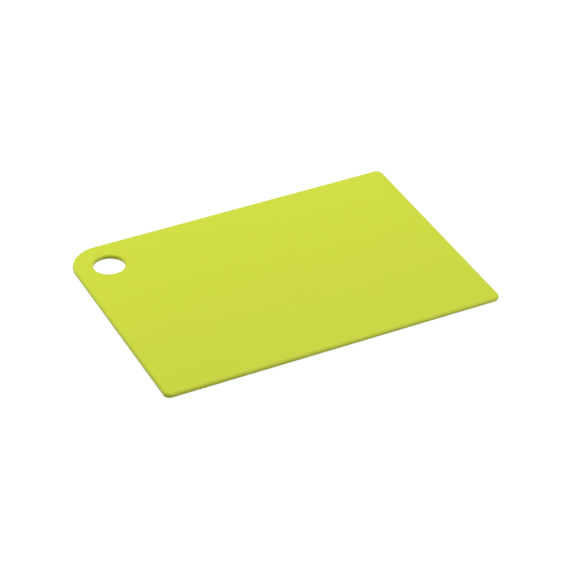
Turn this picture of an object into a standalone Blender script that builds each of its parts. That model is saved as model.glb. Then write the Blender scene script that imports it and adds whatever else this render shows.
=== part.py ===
# A thin one-piece plastic cutting board, lying flat on its underside.
# One corner is widely rounded and carries a round hanging hole; every edge is rounded over, top and bottom.
# Metres, +Z up. The origin is on the underside, at the middle of the board's length and width.

import math

import bmesh
import bpy
from mathutils import Vector

# Driving dimensions
BOARD_LENGTH = 0.300
BOARD_WIDTH = 0.212
BOARD_THICKNESS = 0.005
CORNER_RADIUS = 0.006
HANG_CORNER_RADIUS = 0.0275
HOLE_DIAMETER = 0.0268
HOLE_MARGIN = 0.0163  # plastic left between the hole and each of the two sides beside it
EDGE_ROUNDING = 0.0023
HOLE_ROUNDING = 0.0020

# Facets: how finely each curve is divided
CORNER_SEGMENTS = 10
HANG_CORNER_SEGMENTS = 24
HOLE_SEGMENTS = 60
ROUNDING_SEGMENTS = 6

# Finish of the moulded plastic: linear colour, roughness and metallic value
LIME_GREEN = (0.600, 0.700, 0.040)
MATT_ROUGHNESS = 0.50
NOT_METAL = 0.0

# A rounding takes at most this share of half the thickness, or of the corner that it runs round
MOST_ROUNDING_SHARE = 0.98

# Edges that turn by more than this are shaded sharp
SHARP_ANGLE = math.radians(30)


def clear_scene():
    for old in list(bpy.data.objects):
        bpy.data.objects.remove(old, do_unlink=True)


def lime_plastic():
    material = bpy.data.materials.new("lime_plastic")
    material.use_nodes = True
    shader = material.node_tree.nodes["Principled BSDF"]
    shader.inputs["Base Color"].default_value = (*LIME_GREEN, 1.0)
    shader.inputs["Roughness"].default_value = MATT_ROUGHNESS
    shader.inputs["Metallic"].default_value = NOT_METAL
    return material


def arc(centre, radius, start, sweep, segments):
    """Points along an arc in the XY plane, both ends included."""
    angles = [start + sweep * i / segments for i in range(segments + 1)]
    return [centre + radius * Vector((math.cos(a), math.sin(a))) for a in angles]


def board_outline(inset):
    """The board seen from above, drawn in by inset all round, anticlockwise from the hanging corner."""
    quarter = math.pi / 2
    corners = [
        (-1, 1, HANG_CORNER_RADIUS, HANG_CORNER_SEGMENTS),
        (-1, -1, CORNER_RADIUS, CORNER_SEGMENTS),
        (1, -1, CORNER_RADIUS, CORNER_SEGMENTS),
        (1, 1, CORNER_RADIUS, CORNER_SEGMENTS),
    ]
    points = []
    for number, (side_x, side_y, radius, segments) in enumerate(corners, start=1):
        centre = Vector((side_x * (BOARD_LENGTH / 2 - radius), side_y * (BOARD_WIDTH / 2 - radius)))
        points += arc(centre, radius - inset, number * quarter, quarter, segments)
    return points


def hole_outline(inset):
    """The hanging hole seen from above, its wall drawn back into the plastic by inset."""
    reach = HOLE_DIAMETER / 2 + HOLE_MARGIN
    # A corner wider than the hole's reach pushes the hole along the diagonal, so its arc keeps the margin too
    in_wide_corner = HANG_CORNER_RADIUS - (HANG_CORNER_RADIUS - reach) / math.sqrt(2)
    from_sides = max(reach, in_wide_corner)
    centre = Vector((from_sides - BOARD_LENGTH / 2, BOARD_WIDTH / 2 - from_sides))
    full_turn = 2 * math.pi
    return arc(centre, HOLE_DIAMETER / 2 + inset, 0, full_turn, HOLE_SEGMENTS)[:-1]


def rounded_edge(rounding):
    """The edge's section, from the underside up to the top: how far in it lies, and how high."""
    turns = [math.pi / 2 * i / ROUNDING_SEGMENTS for i in range(ROUNDING_SEGMENTS + 1)]
    lower = [(rounding * (1 - math.sin(a)), rounding * (1 - math.cos(a))) for a in turns]
    upper = [(inset, BOARD_THICKNESS - height) for inset, height in reversed(lower)]
    return lower + upper


def ring(bm, points, height):
    """A closed loop of edges through the points, at one height."""
    verts = [bm.verts.new((point.x, point.y, height)) for point in points]
    return [bm.edges.new((a, b)) for a, b in zip(verts, verts[1:] + verts[:1])]


def wall(bm, outline, rounding):
    """The rounded wall that stands on an outline. Returns its lowest and highest loops."""
    loops = [ring(bm, outline(inset), height) for inset, height in rounded_edge(rounding)]
    for below, above in zip(loops, loops[1:]):
        bmesh.ops.bridge_loops(bm, edges=below + above)
    return loops[0], loops[-1]


def cutting_board():
    half_thickness = BOARD_THICKNESS / 2
    edge_rounding = min(EDGE_ROUNDING, MOST_ROUNDING_SHARE * min(half_thickness, CORNER_RADIUS))
    hole_rounding = min(HOLE_ROUNDING, MOST_ROUNDING_SHARE * half_thickness)

    bm = bmesh.new()
    board_bottom, board_top = wall(bm, board_outline, edge_rounding)
    hole_bottom, hole_top = wall(bm, hole_outline, hole_rounding)
    bmesh.ops.triangle_fill(bm, edges=board_bottom + hole_bottom, use_beauty=True)
    bmesh.ops.triangle_fill(bm, edges=board_top + hole_top, use_beauty=True)
    bmesh.ops.recalc_face_normals(bm, faces=bm.faces)

    mesh = bpy.data.meshes.new("cutting_board")
    bm.to_mesh(mesh)
    bm.free()
    mesh.shade_smooth()
    mesh.set_sharp_from_angle(angle=SHARP_ANGLE)
    mesh.materials.append(lime_plastic())
    board = bpy.data.objects.new("cutting_board", mesh)
    bpy.context.scene.collection.objects.link(board)
    return board


clear_scene()
cutting_board()
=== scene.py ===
import math

import bmesh
import bpy
from mathutils import Matrix, Vector
from mathutils.geometry import delaunay_2d_cdt


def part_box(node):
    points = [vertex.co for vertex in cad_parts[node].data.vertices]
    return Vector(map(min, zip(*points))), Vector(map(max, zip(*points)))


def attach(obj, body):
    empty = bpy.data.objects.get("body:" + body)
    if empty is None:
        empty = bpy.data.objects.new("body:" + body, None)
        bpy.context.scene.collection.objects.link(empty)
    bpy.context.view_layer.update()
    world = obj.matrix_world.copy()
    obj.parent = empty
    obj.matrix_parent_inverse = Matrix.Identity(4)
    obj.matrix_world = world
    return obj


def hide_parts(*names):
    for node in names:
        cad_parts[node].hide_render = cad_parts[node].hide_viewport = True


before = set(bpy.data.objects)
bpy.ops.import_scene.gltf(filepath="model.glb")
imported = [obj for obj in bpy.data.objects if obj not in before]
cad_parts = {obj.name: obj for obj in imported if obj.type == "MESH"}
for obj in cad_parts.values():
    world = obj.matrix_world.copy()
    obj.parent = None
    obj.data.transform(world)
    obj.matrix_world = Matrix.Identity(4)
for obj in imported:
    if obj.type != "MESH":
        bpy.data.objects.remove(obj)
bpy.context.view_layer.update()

print("frame loaded:", sorted(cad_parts))


# A flat board shot from the front left, looking down at about 36 degrees, through a long lens
photoCamera = {
    "azimuth": math.radians(-26.34),
    "elevation": math.radians(35.64),
    "roll": math.radians(0.19),
    "distance": 2.0435,  # metres, as aim is
    "aim": (0.0009, -0.0084, 0.0),
    "lens": 156.4,  # millimetres, as sensor is
    "sensor": 36.0,
}


def placeCamera():
    azimuth, elevation = photoCamera["azimuth"], photoCamera["elevation"]
    back = Vector((
        math.sin(azimuth) * math.cos(elevation),
        -math.cos(azimuth) * math.cos(elevation),
        math.sin(elevation),
    ))
    data = bpy.data.cameras.new("photoCamera")
    data.lens = photoCamera["lens"]
    data.sensor_width = photoCamera["sensor"]
    camera = bpy.data.objects.new("photoCamera", data)
    level = back.to_track_quat("Z", "Y").to_matrix().to_4x4()
    roll = Matrix.Rotation(photoCamera["roll"], 4, "Z")
    place = Matrix.Translation(Vector(photoCamera["aim"]) + back * photoCamera["distance"])
    camera.matrix_world = place @ level @ roll
    bpy.context.scene.collection.objects.link(camera)
    bpy.context.scene.camera = camera


placeCamera()
print("camera placed")


# Small helpers for shader trees

def addNode(tree, kind, **settings):
    node = tree.nodes.new(kind)
    for name, value in settings.items():
        setattr(node, name, value)
    return node


def feed(tree, socket, value):
    # A socket takes either another node's output or a plain value
    if isinstance(value, bpy.types.NodeSocket):
        tree.links.new(value, socket)
    else:
        socket.default_value = value


def calc(tree, operation, *values):
    node = addNode(tree, "ShaderNodeMath", operation=operation)
    for socket, value in zip(node.inputs, values):
        feed(tree, socket, value)
    return node.outputs["Value"]


def noise(tree, vector, size, detail, roughness):
    # size is the width of one blotch in metres
    node = addNode(tree, "ShaderNodeTexNoise")
    feed(tree, node.inputs["Vector"], vector)
    feed(tree, node.inputs["Scale"], calc(tree, "DIVIDE", 1.0, size))
    feed(tree, node.inputs["Detail"], detail)
    feed(tree, node.inputs["Roughness"], roughness)
    return node.outputs["Fac"]


def mixColours(tree, amount, first, second):
    # The node repeats its sockets for each kind of data, and only those of the kind in use are enabled
    node = addNode(tree, "ShaderNodeMix", data_type="RGBA")
    amountIn, firstIn, secondIn = [socket for socket in node.inputs if socket.enabled]
    feed(tree, amountIn, amount)
    feed(tree, firstIn, first)
    feed(tree, secondIn, second)
    return next(socket for socket in node.outputs if socket.enabled)


def newGroup(name, inputs, outputs):
    tree = bpy.data.node_groups.new(name, "ShaderNodeTree")
    for label, kind in inputs.items():
        tree.interface.new_socket(label, in_out="INPUT", socket_type=kind)
    for label, kind in outputs.items():
        tree.interface.new_socket(label, in_out="OUTPUT", socket_type=kind)
    return tree, addNode(tree, "NodeGroupInput"), addNode(tree, "NodeGroupOutput")


def useGroup(tree, group, values):
    node = addNode(tree, "ShaderNodeGroup", node_tree=group)
    for label, value in values.items():
        feed(tree, node.inputs[label], value)
    return node


# The mould's finish: a fine spark-eroded pebble on the faces, over the slow waviness that cooling leaves
mouldNoise = {
    "pebble": {"detail": 3.0, "roughness": 0.55},
    "wave": {"detail": 1.0, "roughness": 0.5},
}


def buildMouldGrain():
    tree, given, out = newGroup(
        "mouldGrain",
        {
            "Place": "NodeSocketVector",
            "Pebble": "NodeSocketFloat",
            "Pebble depth": "NodeSocketFloat",
            "Wave": "NodeSocketFloat",
            "Wave depth": "NodeSocketFloat",
        },
        {"Height": "NodeSocketFloat", "Pits": "NodeSocketFloat"},
    )
    place = given.outputs["Place"]
    pebble = noise(tree, place, given.outputs["Pebble"], **mouldNoise["pebble"])
    wave = noise(tree, place, given.outputs["Wave"], **mouldNoise["wave"])
    fine = calc(tree, "MULTIPLY", pebble, given.outputs["Pebble depth"])
    slow = calc(tree, "MULTIPLY", wave, given.outputs["Wave depth"])
    feed(tree, out.inputs["Height"], calc(tree, "ADD", fine, slow))
    feed(tree, out.inputs["Pits"], pebble)
    return tree


# Pigment that mixed a touch unevenly before it set
pigmentNoise = {"detail": 4.0, "roughness": 0.6}


def buildPigmentDrift():
    tree, given, out = newGroup(
        "pigmentDrift",
        {
            "Place": "NodeSocketVector",
            "Thin": "NodeSocketColor",
            "Rich": "NodeSocketColor",
            "Cloud": "NodeSocketFloat",
        },
        {"Color": "NodeSocketColor"},
    )
    cloud = noise(tree, given.outputs["Place"], given.outputs["Cloud"], **pigmentNoise)
    drift = mixColours(tree, cloud, given.outputs["Thin"], given.outputs["Rich"])
    feed(tree, out.inputs["Color"], drift)
    return tree


mouldGrain = buildMouldGrain()
pigmentDrift = buildPigmentDrift()
print("shader groups built")


limePlastic = {
    "thinColour": (0.610, 0.702, 0.033, 1.0),
    "richColour": (0.600, 0.692, 0.028, 1.0),
    "cloud": 0.045,  # metres across one blotch, as pebble and wave are
    "pebble": 0.0007,
    "pebbleDepth": 1.0,
    "edgePebbleDepth": 0.25,  # the mould is smoother where the edges round over
    "wave": 0.06,
    "waveDepth": 1.0,
    "bumpDistance": 0.00012,
    "faceTilt": 0.995,  # upright part of the normal from which the faces' finish is whole
    "edgeTilt": 0.6,  # and below which only the edges' finish is left
    "faceRoughness": 0.60,
    "edgeRoughness": 0.42,
    "pitRoughness": 0.10,  # how far the pebble varies both of them
    "specular": 0.42,
}


def faceMask(tree):
    # 1 on the flat faces, falling to 0 down the rounded edges
    normal = addNode(tree, "ShaderNodeNewGeometry").outputs["True Normal"]
    parts = addNode(tree, "ShaderNodeSeparateXYZ")
    feed(tree, parts.inputs["Vector"], normal)
    mask = addNode(tree, "ShaderNodeMapRange", interpolation_type="SMOOTHSTEP")
    feed(tree, mask.inputs["Value"], calc(tree, "ABSOLUTE", parts.outputs["Z"]))
    feed(tree, mask.inputs["From Min"], limePlastic["edgeTilt"])
    feed(tree, mask.inputs["From Max"], limePlastic["faceTilt"])
    return mask.outputs["Result"]


def makeLimePlastic():
    material = bpy.data.materials.new("limePlastic")
    material.use_nodes = True
    tree = material.node_tree
    shader = tree.nodes["Principled BSDF"]
    place = addNode(tree, "ShaderNodeTexCoord").outputs["Object"]
    face = faceMask(tree)

    def edgeToFace(edgeValue, faceValue):
        return calc(tree, "MULTIPLY_ADD", face, faceValue - edgeValue, edgeValue)

    drift = useGroup(tree, pigmentDrift, {
        "Place": place,
        "Thin": limePlastic["thinColour"],
        "Rich": limePlastic["richColour"],
        "Cloud": limePlastic["cloud"],
    })
    feed(tree, shader.inputs["Base Color"], drift.outputs["Color"])

    grain = useGroup(tree, mouldGrain, {
        "Place": place,
        "Pebble": limePlastic["pebble"],
        "Pebble depth": edgeToFace(limePlastic["edgePebbleDepth"], limePlastic["pebbleDepth"]),
        "Wave": limePlastic["wave"],
        "Wave depth": limePlastic["waveDepth"],
    })
    bump = addNode(tree, "ShaderNodeBump")
    feed(tree, bump.inputs["Distance"], limePlastic["bumpDistance"])
    feed(tree, bump.inputs["Height"], grain.outputs["Height"])
    feed(tree, shader.inputs["Normal"], bump.outputs["Normal"])

    swing = limePlastic["pitRoughness"]
    pits = calc(tree, "MULTIPLY_ADD", grain.outputs["Pits"], swing, -swing / 2)
    even = edgeToFace(limePlastic["edgeRoughness"], limePlastic["faceRoughness"])
    feed(tree, shader.inputs["Roughness"], calc(tree, "ADD", even, pits))
    feed(tree, shader.inputs["Specular IOR Level"], limePlastic["specular"])
    return material


# The board, in metres. Its length, width and thickness come from the frame
board = {
    "cornerRadius": 0.006,
    "hangCornerRadius": 0.0275,
    "holeDiameter": 0.0268,
    "holeMargin": 0.0163,
    "edgeRounding": 0.0023,
    "holeRounding": 0.0020,
    "partingWidth": 0.00024,  # the fine line where the two halves of the mould met
    "partingHeight": 0.00004,
    "partingFlank": 0.25,  # share of that height that is lost half way from the line's crest to its foot
    "faceBorder": 0.0004,  # a ring just inside each face, which keeps its shading flat
    "cornerSteps": 20,
    "hangCornerSteps": 64,
    "holeSteps": 144,
    "roundingSteps": 14,
    "faceStep": 0.010,
    "mergeWithin": 0.000001,
}


def arcPoints(centre, radius, start, sweep, steps):
    turns = [start + sweep * i / steps for i in range(steps + 1)]
    return [centre + radius * Vector((math.cos(a), math.sin(a))) for a in turns]


def boardOutline(size, inset):
    halfX, halfY = size.x / 2, size.y / 2
    plain = (board["cornerRadius"], board["cornerSteps"])
    corners = [
        (-1, 1, board["hangCornerRadius"], board["hangCornerSteps"]),
        (-1, -1, *plain),
        (1, -1, *plain),
        (1, 1, *plain),
    ]
    points = []
    for number, (sideX, sideY, radius, steps) in enumerate(corners, start=1):
        centre = Vector((sideX * (halfX - radius), sideY * (halfY - radius)))
        points += arcPoints(centre, radius - inset, number * math.pi / 2, math.pi / 2, steps)
    return points


def holeCentre(size):
    reach = board["holeDiameter"] / 2 + board["holeMargin"]
    return Vector((reach - size.x / 2, size.y / 2 - reach))


def holeOutline(size, inset):
    radius = board["holeDiameter"] / 2 + inset
    return arcPoints(holeCentre(size), radius, 0, 2 * math.pi, board["holeSteps"])[:-1]


def edgeSection(thickness, rounding):
    # From the underside's face up to the top's: how far in each ring lies, and how high
    proud, steps = board["partingHeight"], board["roundingSteps"]
    turns = [math.pi / 2 * i / steps for i in range(steps + 1)]
    lower = [(rounding + board["faceBorder"], 0.0)]
    lower += [(proud + (rounding - proud) * (1 - math.sin(a)), rounding * (1 - math.cos(a))) for a in turns]
    middle, halfLine = thickness / 2, board["partingWidth"] / 2
    lower += [(proud, middle - halfLine), (proud * board["partingFlank"], middle - halfLine / 2)]
    upper = [(inset, thickness - height) for inset, height in reversed(lower)]
    return lower + [(0.0, middle)] + upper


def addVerts(bm, points, height):
    return [bm.verts.new((p.x, p.y, height)) for p in points]


def joinRings(bm, below, above):
    for i in range(len(below)):
        bm.faces.new((below[i - 1], below[i], above[i], above[i - 1]))


def addWall(bm, size, outline, rounding):
    # A rounded wall on the outline or in the hole. Returns its lowest and highest rings
    section = edgeSection(size.z, rounding)
    rings = [addVerts(bm, outline(size, inset), height) for inset, height in section]
    for below, above in zip(rings, rings[1:]):
        joinRings(bm, below, above)
    return rings[0], rings[-1]


def closedLoop(first, count):
    return [(first + i, first + (i + 1) % count) for i in range(count)]


def innerPoints(size, hole):
    # An even net of points over a face, clear of the outline and of the hole
    step, clear = board["faceStep"], board["faceStep"] / 2
    halfX = size.x / 2 - board["edgeRounding"] - clear
    halfY = size.y / 2 - board["edgeRounding"] - clear
    countX, countY = math.ceil(2 * halfX / step), math.ceil(2 * halfY / step)
    corner = Vector((board["hangCornerRadius"] - size.x / 2, size.y / 2 - board["hangCornerRadius"]))
    cornerReach = board["hangCornerRadius"] - board["edgeRounding"] - clear
    holeReach = board["holeDiameter"] / 2 + board["holeRounding"] + clear
    points = []
    for i in range(countX + 1):
        for j in range(countY + 1):
            p = Vector((-halfX + 2 * halfX * i / countX, -halfY + 2 * halfY * j / countY))
            pastArc = p.x < corner.x and p.y > corner.y and (p - corner).length > cornerReach
            if (p - hole).length > holeReach and not pastArc:
                points.append(p)
    return points


def addFace(bm, size, outer, hole, height):
    # One flat face of the board, between its outline and the hole's rim
    inner = innerPoints(size, holeCentre(size))
    spots = [v.co.xy for v in outer + hole] + inner
    edges = closedLoop(0, len(outer)) + closedLoop(len(outer), len(hole))
    wholeHull = 0  # triangles all over the outline, which is convex, and so over the hole too
    _, _, triangles, sources, _, _ = delaunay_2d_cdt(spots, edges, [], wholeHull, board["mergeWithin"])
    verts = outer + hole + addVerts(bm, inner, height)
    rim = set(hole)
    for triangle in triangles:
        corners = [verts[sources[i][0]] for i in triangle]
        if not rim.issuperset(corners):  # three corners on the rim lie across the open hole
            bm.faces.new(corners)


def makeBoard():
    low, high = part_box("cutting_board")
    size = high - low
    bm = bmesh.new()
    outerLow, outerHigh = addWall(bm, size, boardOutline, board["edgeRounding"])
    holeLow, holeHigh = addWall(bm, size, holeOutline, board["holeRounding"])
    addFace(bm, size, outerLow, holeLow, 0.0)
    addFace(bm, size, outerHigh, holeHigh, size.z)
    bmesh.ops.recalc_face_normals(bm, faces=bm.faces)
    mesh = bpy.data.meshes.new("limeBoard")
    bm.to_mesh(mesh)
    bm.free()
    mesh.shade_smooth()
    mesh.materials.append(makeLimePlastic())
    piece = bpy.data.objects.new("limeBoard", mesh)
    bpy.context.scene.collection.objects.link(piece)
    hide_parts("cutting_board")
    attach(piece, "root")
    return piece


limeBoard = makeBoard()
print("board made:", len(limeBoard.data.polygons), "faces")


# A seamless white sweep. What the camera sees of it is white, with the board's faint shadow kept
studioFloor = {
    "halfSide": 6.0,
    "drop": 0.0002,  # below the board's underside, so that the two faces don't flicker
    "colour": (0.12, 0.12, 0.12, 1.0),  # dark, because the light on it adds to cameraWhite
    "cameraWhite": 0.96,
}


def seenDirectly(tree):
    # 1 for rays that show the background: from the camera, off gloss or through glass
    rays = addNode(tree, "ShaderNodeLightPath")
    seen = calc(tree, "MAXIMUM", rays.outputs["Is Camera Ray"], rays.outputs["Is Glossy Ray"])
    return calc(tree, "MAXIMUM", seen, rays.outputs["Is Transmission Ray"])


def makeWhiteSweep():
    material = bpy.data.materials.new("whiteSweep")
    material.use_nodes = True
    tree = material.node_tree
    tree.nodes.clear()
    paper = addNode(tree, "ShaderNodeBsdfDiffuse")
    feed(tree, paper.inputs["Color"], studioFloor["colour"])
    glow = addNode(tree, "ShaderNodeEmission")
    white = calc(tree, "MULTIPLY", seenDirectly(tree), studioFloor["cameraWhite"])
    feed(tree, glow.inputs["Strength"], white)
    both = addNode(tree, "ShaderNodeAddShader")
    for socket, shader in zip(both.inputs, (paper.outputs["BSDF"], glow.outputs["Emission"])):
        feed(tree, socket, shader)
    out = addNode(tree, "ShaderNodeOutputMaterial")
    feed(tree, out.inputs["Surface"], both.outputs["Shader"])
    return material


def makeFloor():
    bm = bmesh.new()
    bmesh.ops.create_grid(bm, x_segments=1, y_segments=1, size=studioFloor["halfSide"])
    mesh = bpy.data.meshes.new("studioFloor")
    bm.to_mesh(mesh)
    bm.free()
    mesh.materials.append(makeWhiteSweep())
    floor = bpy.data.objects.new("studioFloor", mesh)
    floor.location.z = -studioFloor["drop"]
    bpy.context.scene.collection.objects.link(floor)


# Soft light from high overhead in a white room, with low cards close behind and on the left, and far off
# in front on the right. A card without shine lights the plastic but doesn't show in its gloss
studioLight = {
    "roomColour": (1.0, 1.0, 1.0, 1.0),
    "roomLight": 0.359,
    "aim": (0.0, 0.0, 0.0),
    "lamps": {
        "overheadBank": {"place": (0.212, -0.077, 1.28), "side": 0.30, "power": 7.05, "shine": True},
        "backRightCard": {"place": (0.164, 0.284, 0.229), "side": 0.30, "power": 0.233, "shine": False},
        "backLeftCard": {"place": (-0.365, 0.365, 0.188), "side": 0.30, "power": 0.537, "shine": False},
        "leftCard": {"place": (-0.50, 0.134, 0.188), "side": 0.30, "power": 0.33, "shine": False},
        "frontRightCard": {"place": (0.644, -1.115, 0.181), "side": 0.60, "power": 4.50, "shine": True},
    },
}


def makeRoom():
    world = bpy.data.worlds.new("whiteRoom")
    world.use_nodes = True
    tree = world.node_tree
    sky = tree.nodes["Background"]
    feed(tree, sky.inputs["Color"], studioLight["roomColour"])
    # Full white where it is seen, and roomLight for what it lights
    room = studioLight["roomLight"]
    strength = calc(tree, "MULTIPLY_ADD", seenDirectly(tree), 1.0 - room, room)
    feed(tree, sky.inputs["Strength"], strength)
    bpy.context.scene.world = world


def makeLamp(name, settings):
    data = bpy.data.lights.new(name, "AREA")
    data.shape = "SQUARE"
    data.size = settings["side"]
    data.energy = settings["power"]
    lamp = bpy.data.objects.new(name, data)
    place = Vector(settings["place"])
    lamp.location = place
    lamp.rotation_euler = (place - Vector(studioLight["aim"])).to_track_quat("Z", "Y").to_euler()
    lamp.visible_camera = False
    lamp.visible_glossy = settings["shine"]
    bpy.context.scene.collection.objects.link(lamp)


makeFloor()
makeRoom()
for name, settings in studioLight["lamps"].items():
    makeLamp(name, settings)
bpy.context.scene.view_settings.view_transform = "Standard"
print("studio lit")
